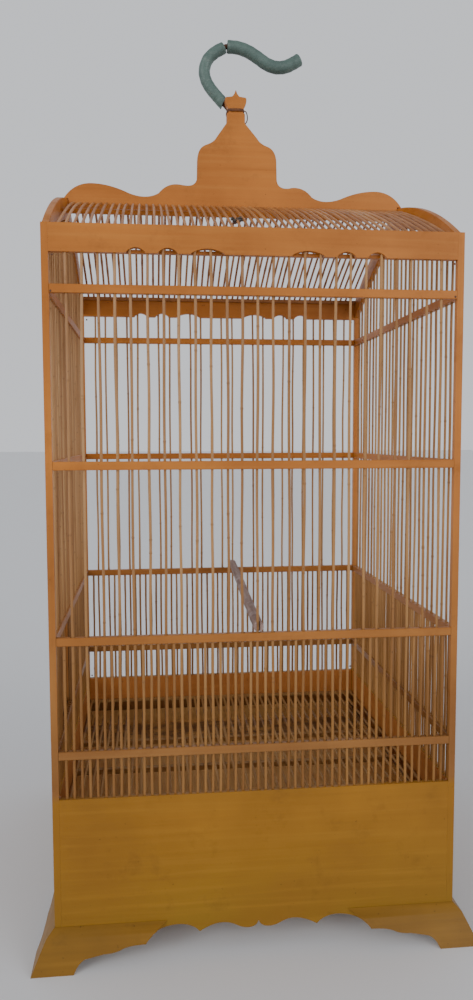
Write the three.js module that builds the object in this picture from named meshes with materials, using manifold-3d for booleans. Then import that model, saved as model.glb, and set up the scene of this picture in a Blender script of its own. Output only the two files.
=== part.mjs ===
// Square box bird cage on a footed plinth, with a pitched barred roof, a crest board and a hook.
// Millimetres, +Z up, origin at the middle of the ground under the feet.
import * as THREE from 'three';
import { mergeVertices } from 'three/addons/utils/BufferGeometryUtils.js';
import Module from 'manifold-3d';

// ---- driving dimensions ------------------------------------------------------------------
const SIDE = 400;             // outside width and depth of the square plan
const HALF = SIDE / 2;
const GAP = 0.3;              // air left between pieces that touch
const POST = 6.5;             // square corner posts; rails and boards are flush with them
const INNER = HALF - POST;    // from the middle to the inner face of a post
const SPAN = INNER - GAP;     // half length of whatever fits between two posts

const SEAM = 36;              // top edge of the feet
const PLINTH_TOP = 163;
const PLINTH_LOW = 20;        // lower edge of the plinth boards behind the feet
const BOARD = 6;              // plinth board thickness
const RAIL_HEIGHTS = [647, 484, 317, 206];   // rail centres, top rail first
const RAIL_TALL = 8;
const FRIEZE_LOW = 680;
const EAVE = 706;
const RIDGE = 783;
const ROOF_BULGE = 10;        // rise of each end board's arcs above their straight chords
const ARCH_BAND = 24;         // height of the curved end boards

const BAR = 3;                // bars are 3 mm thick
const SLOT = BAR + 2 * GAP;   // the rails are open by this much for the bars
const BAR_COUNT = 51;         // places for bars along a wall; every other one is full height
const PITCH = (2 * INNER) / (BAR_COUNT + 1);
const SILL = 3;               // lath that carries the feet of the bars

// ---- colours -----------------------------------------------------------------------------
const paint = (color) => new THREE.MeshStandardMaterial({ color, roughness: 0.45, metalness: 0 });
const framePaint = paint(0xb0772f);
const barPaint = paint(0xb87d44);
const plinthPaint = paint(0x8f6416);
const trayPaint = paint(0x6a4a2a);
const stick = new THREE.MeshStandardMaterial({ color: 0x7a5c50, roughness: 0.8, metalness: 0 });
const hose = new THREE.MeshStandardMaterial({ color: 0x556962, roughness: 0.55, metalness: 0 });
const iron = new THREE.MeshStandardMaterial({ color: 0x5a3d2e, roughness: 0.7, metalness: 0.8 });

const cage = new THREE.Group();

// The four walls are drawn as the front wall and turned to their places.
const walls = {};
const WALL_TURNS = { front: 0, right: Math.PI / 2, rear: Math.PI, left: -Math.PI / 2 };
for (const [side, turn] of Object.entries(WALL_TURNS)) {
  walls[side] = new THREE.Group();
  walls[side].rotation.z = turn;
  cage.add(walls[side]);
}

function add(parent, name, geometry, material) {
  const mesh = new THREE.Mesh(geometry, material);
  mesh.name = name;
  parent.add(mesh);
  return mesh;
}

// ---- shape helpers -----------------------------------------------------------------------
function polygon(points) {
  return new THREE.Shape(points.map(([u, v]) => new THREE.Vector2(u, v)));
}

function rectangle(u0, u1, v0, v1) {
  return polygon([[u0, v0], [u1, v0], [u1, v1], [u0, v1]]);
}

function extrude(shape, depth, curveSegments = 5) {
  return new THREE.ExtrudeGeometry(shape, { depth, bevelEnabled: false, curveSegments });
}

// A shape drawn in plan, standing from z0 to z0 + height.
function plate(shape, z0, height) {
  return extrude(shape, height).translate(0, 0, z0);
}

// A shape drawn in elevation (x across, z up), reaching from y0 back to y0 + thickness.
function upright(shape, y0, thickness, curveSegments) {
  const geometry = extrude(shape, thickness, curveSegments);
  geometry.rotateX(Math.PI / 2);
  return geometry.translate(0, y0 + thickness, 0);
}

// A shape drawn in section (y across, z up), reaching from x0 to x0 + length.
function lengthwise(shape, x0, length) {
  const geometry = extrude(shape, length);
  geometry.rotateX(Math.PI / 2).rotateZ(Math.PI / 2);
  return geometry.translate(x0, 0, 0);
}

function box(x0, x1, y0, y1, z0, z1) {
  return plate(rectangle(x0, x1, y0, y1), z0, z1 - z0);
}

// ---- booleans ----------------------------------------------------------------------------
const wasm = await Module();
wasm.setup();

function toSolid(geometry) {
  const bare = geometry.clone();
  bare.deleteAttribute('normal');
  bare.deleteAttribute('uv');
  const merged = mergeVertices(bare, 1e-4);
  return new wasm.Manifold(new wasm.Mesh({
    numProp: 3,
    vertProperties: new Float32Array(merged.attributes.position.array),
    triVerts: new Uint32Array(merged.index.array),
  }));
}

function toGeometry(solid) {
  const mesh = solid.getMesh();
  const geometry = new THREE.BufferGeometry();
  geometry.setAttribute('position', new THREE.BufferAttribute(new Float32Array(mesh.vertProperties), 3));
  geometry.setIndex(new THREE.BufferAttribute(new Uint32Array(mesh.triVerts), 1));
  geometry.computeVertexNormals();
  return geometry;
}

function join(...geometries) {
  return toGeometry(geometries.map(toSolid).reduce((sum, next) => sum.add(next)));
}

function cut(geometry, ...tools) {
  return toGeometry(tools.map(toSolid).reduce((rest, tool) => rest.subtract(tool), toSolid(geometry)));
}

function common(...geometries) {
  return toGeometry(geometries.map(toSolid).reduce((rest, next) => rest.intersect(next)));
}

// ---- curves shared by several pieces -----------------------------------------------------
// Height of the end boards' top edge at a distance y from the ridge: one arc on each slope.
const slopeRun = INNER;
const slopeRise = RIDGE - EAVE;
const slopeChord = Math.hypot(slopeRun, slopeRise);
const slopeRadius = (slopeChord ** 2 / 4 + ROOF_BULGE ** 2) / (2 * ROOF_BULGE);
const slopeCentre = {
  y: slopeRun / 2 - ((slopeRadius - ROOF_BULGE) * slopeRise) / slopeChord,
  z: (EAVE + RIDGE) / 2 - ((slopeRadius - ROOF_BULGE) * slopeRun) / slopeChord,
};
function roofHeight(y) {
  return slopeCentre.z + Math.sqrt(slopeRadius ** 2 - (Math.abs(y) - slopeCentre.y) ** 2);
}
function archUnderside(y) {
  return roofHeight(y) - ARCH_BAND;
}

// Shallow hollows in the lower edge of the friezes: [from, to, depth] on each side of the middle.
const FRIEZE_HOLLOWS = [[31, 64, 5.2], [75, 94, 5.2], [105, 123.5, 5.2]];
function friezeEdge(x) {
  for (const [from, to, depth] of FRIEZE_HOLLOWS) {
    const along = (Math.abs(x) - from) / (to - from);
    if (along > 0 && along < 1) return FRIEZE_LOW + depth * Math.sin(Math.PI * along) ** 0.7;
  }
  return FRIEZE_LOW;
}

// ---- corner posts ------------------------------------------------------------------------
const POST_LOW = 28;
const CORNERS = { front_left: [-1, -1], front_right: [1, -1], rear_left: [-1, 1], rear_right: [1, 1] };
for (const [corner, [sx, sy]] of Object.entries(CORNERS)) {
  const post = add(cage, `post_${corner}`, new THREE.BoxGeometry(POST, POST, EAVE - POST_LOW), framePaint);
  post.position.set(sx * (HALF - POST / 2), sy * (HALF - POST / 2), (EAVE + POST_LOW) / 2);
}

// ---- rails -------------------------------------------------------------------------------
// Each rail is one lath, open along its middle for the bars that pass down through it.
const RAIL_WEB = 3;           // solid wood left at each end of a rail
function railGeometry(centre) {
  const shape = rectangle(-SPAN, SPAN, -HALF, -INNER);
  const middle = -HALF + POST / 2;
  const slotEnd = SPAN - RAIL_WEB;
  shape.holes.push(rectangle(-slotEnd, slotEnd, middle - SLOT / 2, middle + SLOT / 2));
  return plate(shape, centre - RAIL_TALL / 2, RAIL_TALL);
}
for (const [side, wall] of Object.entries(walls)) {
  RAIL_HEIGHTS.forEach((centre, index) => {
    add(wall, `${side}_rail_${index + 1}`, railGeometry(centre), framePaint);
  });
}

// ---- bars --------------------------------------------------------------------------------
const BAR_PLACES = Array.from({ length: BAR_COUNT }, (_, k) => -INNER + (k + 1) * PITCH);
const isShort = (k) => k % 2 === 0;
const BAR_FOOT = PLINTH_TOP + GAP;
const SHORT_TOP = RAIL_HEIGHTS[2] - RAIL_TALL / 2 - GAP;     // short bars end under the third rail
const TOP_CLEAR = 0.6;

// Outline of a row of bars that stand on a lath: [x, top] for each bar.
function combPoints(bars, base) {
  const lathTop = base + SILL;
  const points = [[bars[0][0] - BAR / 2, base]];
  bars.forEach(([x, top], index) => {
    if (index > 0) points.push([x - BAR / 2, lathTop]);
    points.push([x - BAR / 2, top], [x + BAR / 2, top]);
    if (index < bars.length - 1) points.push([x + BAR / 2, lathTop]);
  });
  points.push([bars[bars.length - 1][0] + BAR / 2, base]);
  return points;
}
const BAR_PLANE = -HALF + POST / 2 - BAR / 2;
function barRow(shape) {
  return upright(shape, BAR_PLANE, BAR);
}
function barTop(topAt, x) {
  return Math.min(topAt(x - BAR), topAt(x), topAt(x + BAR)) - TOP_CLEAR;
}
function wallBars(topAt) {
  return BAR_PLACES.map((x, k) => [x, isShort(k) ? SHORT_TOP : barTop(topAt, x)]);
}

for (const side of ['front', 'rear']) {
  add(walls[side], `${side}_bars`, barRow(polygon(combPoints(wallBars(friezeEdge), BAR_FOOT))), barPaint);
}
add(walls.right, 'right_bars', barRow(polygon(combPoints(wallBars(archUnderside), BAR_FOOT))), barPaint);

// The left wall has the doorway between the third and fourth rails. Seen from the left, front is
// to the right, so places along the wall are counted as on the front wall, left to right.
const JAMB_LOW = 31;          // index of the full bar on the doorway's rear side
const JAMB_HIGH = 43;         // index of the full bar on its front side
const doorBars = BAR_PLACES.map((x, k) => ({ x, k })).filter(({ k }) => k > JAMB_LOW && k < JAMB_HIGH);
const overDoorBase = RAIL_HEIGHTS[2] + RAIL_TALL / 2 + GAP;
const leftBars = wallBars(archUnderside);
const besideDoor = {
  left_bars_rear: leftBars.slice(0, JAMB_LOW + 1),
  left_bars_front: leftBars.slice(JAMB_HIGH),
};
for (const [name, bars] of Object.entries(besideDoor)) {
  add(walls.left, name, barRow(polygon(combPoints(bars, BAR_FOOT))), barPaint);
}
const underDoor = doorBars.map(({ x }) => [x, RAIL_HEIGHTS[3]]);
add(walls.left, 'left_bars_under_door', barRow(polygon(combPoints(underDoor, BAR_FOOT))), barPaint);
const overDoor = doorBars.filter(({ k }) => !isShort(k)).map(({ x }) => [x, barTop(archUnderside, x)]);
add(walls.left, 'left_bars_over_door', barRow(polygon(combPoints(overDoor, overDoorBase))), barPaint);

// ---- friezes and arched end boards -------------------------------------------------------
const HEAD_LATH = { deep: 5, low: 681, high: 684.2 };       // lath glued behind the front frieze
const HOLLOW_STEPS = 5;
function friezeBoard() {
  const points = [[-SPAN, EAVE], [-SPAN, FRIEZE_LOW]];
  const hollows = [...FRIEZE_HOLLOWS.map(([a, b]) => [-b, -a]).reverse(), ...FRIEZE_HOLLOWS];
  for (const [from, to] of hollows) {
    for (let step = 0; step <= HOLLOW_STEPS; step += 1) {
      const x = from + ((to - from) * step) / HOLLOW_STEPS;
      points.push([x, friezeEdge(x)]);
    }
  }
  points.push([SPAN, FRIEZE_LOW], [SPAN, EAVE]);
  return upright(polygon(points), -HALF, POST);
}
const headLath = box(-SPAN, SPAN, -INNER - 0.1, -INNER + HEAD_LATH.deep, HEAD_LATH.low, HEAD_LATH.high);
add(walls.front, 'front_frieze', join(friezeBoard(), headLath), framePaint);
add(walls.rear, 'rear_frieze', toGeometry(toSolid(friezeBoard())), framePaint);

const ARCH_STEPS = 12;
function archPoints(heightAt, from, to) {
  return Array.from({ length: ARCH_STEPS + 1 }, (_, step) => {
    const y = from + ((to - from) * step) / ARCH_STEPS;
    return [y, heightAt(y)];
  });
}
for (const side of ['left', 'right']) {
  const outline = [...archPoints(roofHeight, -SPAN, SPAN), ...archPoints(archUnderside, SPAN, -SPAN)];
  add(walls[side], `${side}_arch_board`, upright(polygon(outline), -HALF, POST), framePaint);
}

// ---- roof --------------------------------------------------------------------------------
// The bars rise from the frieze to the crest board in a flatter arc than the end boards'.
const SLOPE = { eave: 704, ridge: 780, bulge: 5 };
const CREST_THICK = 9;
const ROOF_STEPS = 4;
const EAVE_LATH = { deep: 5, tall: 4 };
const HOOK_BAR = 25;          // the middle bar of the rear slope stops short of the hook's rod
const HOOK_BAR_END = -18;
function barHeight(y) {
  const climb = (INNER - Math.abs(y)) / INNER;
  return SLOPE.eave + (SLOPE.ridge - SLOPE.eave) * climb + SLOPE.bulge * 4 * climb * (1 - climb);
}
const eaveY = -INNER + GAP;
const ridgeY = -CREST_THICK / 2 - GAP;

function roofBar(x, endY) {
  const under = [];
  const over = [];
  for (let step = 0; step <= ROOF_STEPS; step += 1) {
    const y = eaveY + ((endY - eaveY) * step) / ROOF_STEPS;
    under.push([y, barHeight(y) - BAR / 2]);
    over.unshift([y, barHeight(y) + BAR / 2]);
  }
  return lengthwise(polygon([...under, ...over]), x - BAR / 2, BAR);
}
function roofSlope(endAt) {
  const low = barHeight(eaveY) - EAVE_LATH.tall / 2;
  const lath = box(-SPAN, SPAN, eaveY, eaveY + EAVE_LATH.deep, low, low + EAVE_LATH.tall);
  return join(lath, ...BAR_PLACES.map((x, k) => roofBar(x, endAt(k))));
}
add(walls.front, 'roof_bars_front', roofSlope(() => ridgeY), barPaint);
add(walls.rear, 'roof_bars_rear', roofSlope((k) => (k === HOOK_BAR ? HOOK_BAR_END : ridgeY)), barPaint);

// A purlin lies under the bars of each slope, square to them.
const PURLIN = { y: -70, wide: 6, tall: 4.5 };
for (const side of ['front', 'rear']) {
  const slope = Math.atan2(barHeight(PURLIN.y + 1) - barHeight(PURLIN.y - 1), 2);
  const below = BAR / 2 + PURLIN.tall / 2 + 4 * GAP;
  const shape = new THREE.BoxGeometry(2 * SPAN, PURLIN.wide, PURLIN.tall);
  const purlin = add(walls[side], `${side}_purlin`, shape, framePaint);
  purlin.rotation.x = slope;
  purlin.position.set(
    0, PURLIN.y + below * Math.sin(slope), barHeight(PURLIN.y) - below * Math.cos(slope),
  );
}

// ---- crest board -------------------------------------------------------------------------
const CREST_LOW = 768.5;
const CREST_SHOULDER = RIDGE + GAP;      // the ends ride over the end boards here
const CREST_END = HALF - 1.5;
const FINIAL_TOP = 911.3;
// Half of the crest's outline, from the end of the board to the tip: scrolls, box, spire, crown.
function crestHalf(shape, s) {
  const q = (cx, cz, x, z) => shape.quadraticCurveTo(s * cx, cz, s * x, z);
  q(187, 801, 167, 801.3);
  q(146, 801.3, 124, 791.2);
  q(104, 784, 90, 792.3);
  q(79, 806, 62, 802);
  q(48, 800, 46.8, 811);
  shape.lineTo(s * 46.3, 832);
  q(45.5, 845, 36, 848.5);
  q(27, 851.5, 24, 857);
  shape.lineTo(s * 10.6, 874);
  shape.lineTo(s * 10.6, 884.5);
  q(8, 885.5, 8.2, 888.5);
  shape.lineTo(s * 12, 896.5);
  q(13, 901, 11.8, 902.8);
  shape.lineTo(s * 4, 903.8);
  shape.lineTo(s * 1.6, 907);
  shape.lineTo(0, FINIAL_TOP);
}
// The box under the spire stands a little to the right of the board's middle.
const BOX_SHIFT = { from: 20, to: 63, by: 1.2 };
function shifted(point) {
  const place = Math.abs(point.x);
  return place > BOX_SHIFT.from && place < BOX_SHIFT.to ? point.setX(point.x + BOX_SHIFT.by) : point;
}
function crestShape() {
  const right = new THREE.Shape();
  right.moveTo(CREST_END, CREST_SHOULDER);
  crestHalf(right, 1);
  const edge = right.getPoints(4);
  const mirrored = edge.slice(0, -1).reverse().map((p) => new THREE.Vector2(-p.x, p.y));
  const outline = [...edge, ...mirrored].map(shifted);
  const feet = [[-SPAN, CREST_SHOULDER], [-SPAN, CREST_LOW], [SPAN, CREST_LOW], [SPAN, CREST_SHOULDER]];
  return new THREE.Shape([...outline, ...feet.map(([x, z]) => new THREE.Vector2(x, z))]);
}
add(cage, 'crest_board', upright(crestShape(), -CREST_THICK / 2, CREST_THICK), framePaint);

// ---- plinth boards -----------------------------------------------------------------------
const TRAY_SLOT = { half: 186, low: 95.6, high: 122 };
function plinthShape() {
  const shape = new THREE.Shape();
  shape.moveTo(SPAN, PLINTH_TOP);
  shape.lineTo(-SPAN, PLINTH_TOP);
  shape.lineTo(-SPAN, PLINTH_LOW);
  shape.lineTo(-109, PLINTH_LOW);
  shape.quadraticCurveTo(-97, 30.5, -80, 30.8);
  shape.quadraticCurveTo(-66, 30.5, -59, 22);
  shape.quadraticCurveTo(-38, 35, -22, 26);
  shape.bezierCurveTo(-14, 21.5, -2.5, 21, 0, 29.5);
  shape.bezierCurveTo(2.5, 21, 14, 21.5, 22, 26);
  shape.quadraticCurveTo(38, 35, 59, 22);
  shape.quadraticCurveTo(66, 30.5, 80, 30.8);
  shape.quadraticCurveTo(97, 30.5, 109, PLINTH_LOW);
  shape.lineTo(SPAN, PLINTH_LOW);
  return shape;
}
for (const [side, wall] of Object.entries(walls)) {
  const shape = plinthShape();
  if (side === 'left') {
    shape.holes.push(rectangle(-TRAY_SLOT.half, TRAY_SLOT.half, TRAY_SLOT.low, TRAY_SLOT.high));
  }
  add(wall, `${side}_plinth_board`, upright(shape, -HALF, BOARD), plinthPaint);
}

// ---- feet: two flared bracket boards, mitred together at each corner ------------------------
const FLARE = 21;             // how far the foot's bottom stands out from the plinth
const FOOT_INNER = 89;        // where a bracket's pointed inner end starts
const MITRE_LAP = 0.05;
function bracket() {
  const section = polygon([
    [-HALF - GAP, SEAM], [-HALF - 7.5, SEAM - 7], [-HALF - FLARE, 0],
    [-HALF - FLARE + 6.5, 0], [-HALF - GAP, SEAM - 11],
  ]);
  const elevation = new THREE.Shape();
  elevation.moveTo(HALF + 2 * FLARE, SEAM + 1);
  elevation.lineTo(FOOT_INNER, SEAM + 1);
  elevation.quadraticCurveTo(107, 27, 112, 20);
  elevation.quadraticCurveTo(130, 20, 137, 16.5);
  elevation.quadraticCurveTo(143, 14.5, 152, 14.5);
  elevation.lineTo(170, 11.5);
  elevation.quadraticCurveTo(177, 9, 181, -1);
  elevation.lineTo(HALF + 2 * FLARE, -1);
  const reach = HALF + 2 * FLARE;
  const mitre = polygon([[0, MITRE_LAP], [reach, -reach + MITRE_LAP], [0, -reach]]);
  return common(
    lengthwise(section, FOOT_INNER, reach - FOOT_INNER),
    upright(elevation, -reach, 2 * FLARE + HALF),
    plate(mitre, -1, SEAM + 2),
  );
}
// The second board of a corner is the first one mirrored in the corner's diagonal plane.
function mirroredInDiagonal(geometry) {
  const mirror = new THREE.Matrix4().set(0, -1, 0, 0, -1, 0, 0, 0, 0, 0, 1, 0, 0, 0, 0, 1);
  const copy = geometry.clone().applyMatrix4(mirror);
  const index = copy.index.array;
  for (let i = 0; i < index.length; i += 3) {
    [index[i + 1], index[i + 2]] = [index[i + 2], index[i + 1]];
  }
  return copy;
}
const bracketBoard = bracket();
const footGeometry = join(bracketBoard, mirroredInDiagonal(bracketBoard));
const FOOT_TURNS = { front_right: 0, rear_right: 1, rear_left: 2, front_left: 3 };
for (const [corner, quarter] of Object.entries(FOOT_TURNS)) {
  const foot = add(cage, `foot_${corner}`, footGeometry.clone(), plinthPaint);
  foot.rotation.z = (quarter * Math.PI) / 2;
}

// ---- inside the plinth: runners, floor grille and tray -----------------------------------
const GRILLE = { low: 128.4, high: 132, half: 192.5, slots: 36, slotHalf: 187, bar: 3.2 };
const RUNNER = { low: 90, flange: 95.9, inner: 178, web: 188 };
for (const side of ['front', 'rear']) {
  const outer = -HALF + BOARD + GAP;
  const section = polygon([
    [outer, RUNNER.low], [-RUNNER.inner, RUNNER.low], [-RUNNER.inner, RUNNER.flange],
    [-RUNNER.web, RUNNER.flange], [-RUNNER.web, GRILLE.low - GAP], [outer, GRILLE.low - GAP],
  ]);
  const runner = lengthwise(section, -INNER + 1, 2 * (INNER - 1));
  add(walls[side], `${side}_tray_runner`, runner, framePaint);
}

function grilleGeometry() {
  const slab = box(-GRILLE.half, GRILLE.half, -GRILLE.half, GRILLE.half, GRILLE.low, GRILLE.high);
  const pitch = (2 * GRILLE.half - GRILLE.bar) / GRILLE.slots;
  const slots = [];
  for (let n = 0; n < GRILLE.slots; n += 1) {
    const x0 = -GRILLE.half + GRILLE.bar + n * pitch;
    const x1 = x0 + pitch - GRILLE.bar;
    slots.push(box(x0, x1, -GRILLE.slotHalf, GRILLE.slotHalf, GRILLE.low - 1, GRILLE.high + 1));
  }
  return cut(slab, ...slots);
}
// Two laths under the slats hold them together.
const CROSS_RAIL = { places: [-47, 38], wide: 7, low: 123 };
const crossRails = CROSS_RAIL.places.map((y) => box(
  -INNER + 1, INNER - 1, y - CROSS_RAIL.wide / 2, y + CROSS_RAIL.wide / 2, CROSS_RAIL.low, GRILLE.low + 0.2,
));
add(cage, 'floor_grille', join(grilleGeometry(), ...crossRails), barPaint);

const TRAY = { low: 96.2, base: 2, high: 118, left: -193.7, right: 186, half: 184, wall: 2.5 };
const trayOuter = box(TRAY.left, TRAY.right, -TRAY.half, TRAY.half, TRAY.low, TRAY.high);
const trayInner = box(
  TRAY.left + TRAY.wall, TRAY.right - TRAY.wall, -TRAY.half + TRAY.wall, TRAY.half - TRAY.wall,
  TRAY.low + TRAY.base, TRAY.high + 1,
);
add(cage, 'tray_box', cut(trayOuter, trayInner), trayPaint);
const FACE_CLEAR = 0.4;
const trayFace = box(
  -HALF, TRAY.left - GAP, -TRAY_SLOT.half + FACE_CLEAR, TRAY_SLOT.half - FACE_CLEAR,
  TRAY_SLOT.low + FACE_CLEAR, TRAY_SLOT.high - FACE_CLEAR,
);
add(cage, 'tray_face', trayFace, plinthPaint);

// Turned knob on the axis, from its flat back at length 0 to its crown.
function knobGeometry(radius, length) {
  const profile = [
    [0, 0], [radius * 0.8, 0], [radius * 0.55, length * 0.3], [radius * 0.6, length * 0.45],
    [radius, length * 0.65], [radius * 0.75, length * 0.92], [0, length],
  ];
  const geometry = new THREE.LatheGeometry(profile.map(([r, h]) => new THREE.Vector2(r, h)), 10);
  return geometry.rotateZ(Math.PI / 2);     // the crown points to -X
}
const trayKnob = add(cage, 'tray_knob', knobGeometry(7, 13), framePaint);
trayKnob.position.set(-HALF - GAP, 0, (TRAY_SLOT.low + TRAY_SLOT.high) / 2);

// ---- sliding door outside the left wall --------------------------------------------------
// Places along Y; the doorway lies between the two jamb bars.
const doorFront = -BAR_PLACES[JAMB_HIGH];
const doorRear = -BAR_PLACES[JAMB_LOW];
const DOOR = { lap: 4.6, thick: 4, clear: 0.8, low: 207, high: 319, stile: 4.5, rail: 8 };
const door = {
  y0: doorFront - DOOR.lap,
  y1: doorRear + DOOR.lap,
  x0: -HALF - DOOR.clear - DOOR.thick,
  x1: -HALF - DOOR.clear,
};
function doorPanel() {
  const slab = box(door.x0, door.x1, door.y0, door.y1, DOOR.low, DOOR.high);
  const from = door.y0 + DOOR.stile;
  const to = door.y1 - DOOR.stile;
  const count = doorBars.length + 1;
  const slot = (to - from - (count - 1) * BAR) / count;
  const slots = [];
  for (let n = 0; n < count; n += 1) {
    const y = from + n * (slot + BAR);
    slots.push(box(door.x0 - 1, door.x1 + 1, y, y + slot, DOOR.low + DOOR.rail, DOOR.high - DOOR.rail));
  }
  return cut(slab, ...slots);
}
add(cage, 'door_panel', doorPanel(), barPaint);
const doorPull = add(cage, 'door_pull', knobGeometry(4.5, 9), framePaint);
doorPull.position.set(door.x0 - GAP, (door.y0 + door.y1) / 2, DOOR.low + DOOR.rail / 2 + 0.5);

// Two L-shaped guides hold the door's edges; they are nailed to the second, third and fourth rails.
const GUIDE = { web: 5, lip: 2.6, play: 0.5, thick: 2, low: 200, high: 488 };
function guideGeometry(edge, outward) {
  const near = edge + outward * GUIDE.play;
  const far = near + outward * GUIDE.web;
  const lipEnd = edge - outward * GUIDE.lip;
  const wallX = -HALF - GAP;
  const lipInner = door.x0 - GUIDE.play;
  const outerX = lipInner - GUIDE.thick;
  const outline = [
    [wallX, near], [wallX, far], [outerX, far], [outerX, lipEnd], [lipInner, lipEnd], [lipInner, near],
  ];
  return plate(polygon(outline), GUIDE.low, GUIDE.high - GUIDE.low);
}
const SILL_BLOCK = { low: 202.5, thick: 5 };
const sillReach = GUIDE.play + GUIDE.web;     // the sill runs out past the door to the guides' edges
const doorSill = box(
  -HALF - GAP - SILL_BLOCK.thick, -HALF - GAP,
  door.y0 - sillReach, door.y1 + sillReach,
  SILL_BLOCK.low, DOOR.low - GAP,
);
// A thin strip glued behind each guide fills the space between it and the bars, from rail to rail.
const STRIP = {
  inner: 1.7,                 // reach from the jamb bar's middle towards the doorway
  outer: 9.7,                 // and away from it
  sunk: 0.2,                  // how far the strip is let into the guide
  low: RAIL_HEIGHTS[3] + RAIL_TALL / 2 + GAP,
  high: RAIL_HEIGHTS[2] - RAIL_TALL / 2 - GAP,
};
function stripGeometry(barPlace, outward) {
  const from = barPlace - outward * STRIP.inner;
  const to = barPlace + outward * STRIP.outer;
  const outerX = -HALF - GAP - STRIP.sunk;
  const innerX = BAR_PLANE - GAP;
  return box(outerX, innerX, Math.min(from, to), Math.max(from, to), STRIP.low, STRIP.high);
}
const doorFrame = join(
  guideGeometry(door.y0, -1), guideGeometry(door.y1, 1), doorSill,
  stripGeometry(doorFront, -1), stripGeometry(doorRear, 1),
);
add(cage, 'door_guide_frame', doorFrame, framePaint);

// ---- perch -------------------------------------------------------------------------------
// A stick whose notched ends sit astride the middle bar in front and the next full bar behind.
const PERCH = { radius: 5.5, reach: 199.5, front: 0, rear: 2 * PITCH };
const perchSkew = Math.atan2(PERCH.rear - PERCH.front, 2 * INNER + POST);
const perchStick = new THREE.CylinderGeometry(PERCH.radius, PERCH.radius, 2 * PERCH.reach, 12);
perchStick.rotateZ(-perchSkew).translate((PERCH.front + PERCH.rear) / 2, 0, 0);
function perchNotch(x, yFrom, yTo) {
  return box(x - SLOT / 2, x + SLOT / 2, yFrom, yTo, -2 * PERCH.radius, 2 * PERCH.radius);
}
const notchFoot = -BAR_PLANE - BAR - GAP;     // the notches reach in to just past the bars
const perch = add(cage, 'perch', cut(
  perchStick,
  perchNotch(PERCH.front, -HALF - BAR, -notchFoot),
  perchNotch(PERCH.rear, notchFoot, HALF + BAR),
), stick);
perch.position.z = RAIL_HEIGHTS[2] + RAIL_TALL / 2 + GAP + PERCH.radius;

// ---- hook: a bent rod with two lengths of hose on it, lashed to the neck of the finial ------
const ROD = { radius: 3, y: 12, foot: 764.4 };
const rodRoute = [
  [0, -5, ROD.foot], [0, 3, ROD.foot], [0, 9.5, ROD.foot + 2], [0, ROD.y, 774], [0, ROD.y, 794],
  [0, ROD.y, 834], [-0.5, ROD.y, 864], [-1.5, ROD.y, 882], [-5, ROD.y, 892], [-10, ROD.y, 898.7],
];
const hookRoute = [
  [-15.5, 904.2], [-21.5, 910.5], [-28, 918], [-33.3, 927], [-35.3, 938], [-31.5, 950], [-23, 958.6],
  [-12.5, 964.6], [-8.3, 966], [4, 965.3], [16, 961.7], [27, 955.6], [38, 948.6], [49, 945.2],
  [60, 946.2], [69.5, 950.6], [77, 955.2],
].map(([x, z]) => [x, ROD.y, z]);
const toCurve = (points) => new THREE.CatmullRomCurve3(points.map((p) => new THREE.Vector3(...p)));
const rodCurve = toCurve([...rodRoute, ...hookRoute]);

function ring(radius, sides) {
  const points = [];
  for (let n = 0; n < sides; n += 1) {
    const angle = (2 * Math.PI * n) / sides;
    points.push(new THREE.Vector2(radius * Math.cos(angle), radius * Math.sin(angle)));
  }
  return points;
}
const ROD_SIDES = 6;
const rodShape = new THREE.Shape(ring(ROD.radius, ROD_SIDES));
add(cage, 'hook_rod', new THREE.ExtrudeGeometry(rodShape, { steps: 44, extrudePath: rodCurve }), iron);

const HOSE_SIDES = 8;
const HOSE_BORE = 3.6;
function hoseGeometry(points, outer, steps) {
  const shape = new THREE.Shape(ring(outer, HOSE_SIDES));
  shape.holes.push(new THREE.Path(ring(HOSE_BORE, HOSE_SIDES)));
  return new THREE.ExtrudeGeometry(shape, { steps, extrudePath: toCurve(points) });
}
const HOSE_SPLIT = 8;         // the two hoses meet at this point of the hook's route
const lowerHose = hookRoute.slice(0, HOSE_SPLIT);
const upperHose = hookRoute.slice(HOSE_SPLIT);
add(cage, 'hook_hose_lower', hoseGeometry(lowerHose, 6.8, 16), hose);
add(cage, 'hook_hose_upper', hoseGeometry(upperHose, 7.3, 16), hose);

const LASH = { wide: 10.9, front: 6.4, back: 17.1, wire: 1.6, low: 886.7, tall: 3 };
const lashShape = rectangle(-LASH.wide, LASH.wide, -LASH.front, LASH.back);
lashShape.holes.push(rectangle(
  -LASH.wide + LASH.wire, LASH.wide - LASH.wire, -LASH.front + LASH.wire, LASH.back - LASH.wire,
));
add(cage, 'hook_lashing', plate(lashShape, LASH.low, LASH.tall), iron);

export default cage;
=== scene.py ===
import math
import random

import bmesh
import bpy
from mathutils import Matrix, Vector


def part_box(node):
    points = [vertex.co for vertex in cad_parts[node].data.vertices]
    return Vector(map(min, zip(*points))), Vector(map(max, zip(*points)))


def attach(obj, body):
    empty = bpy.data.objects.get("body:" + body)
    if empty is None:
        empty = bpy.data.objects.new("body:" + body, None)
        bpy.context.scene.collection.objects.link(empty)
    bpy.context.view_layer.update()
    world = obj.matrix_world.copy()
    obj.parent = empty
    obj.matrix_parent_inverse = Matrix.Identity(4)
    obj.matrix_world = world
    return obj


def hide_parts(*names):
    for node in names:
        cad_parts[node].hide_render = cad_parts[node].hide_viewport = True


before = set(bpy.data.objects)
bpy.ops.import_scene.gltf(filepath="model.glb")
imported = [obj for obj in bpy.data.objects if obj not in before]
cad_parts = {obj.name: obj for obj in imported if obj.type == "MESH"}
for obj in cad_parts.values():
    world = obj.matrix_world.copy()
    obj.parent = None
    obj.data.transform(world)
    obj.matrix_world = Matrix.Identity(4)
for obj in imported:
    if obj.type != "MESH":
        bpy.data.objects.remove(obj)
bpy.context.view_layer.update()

MM = 0.001

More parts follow.
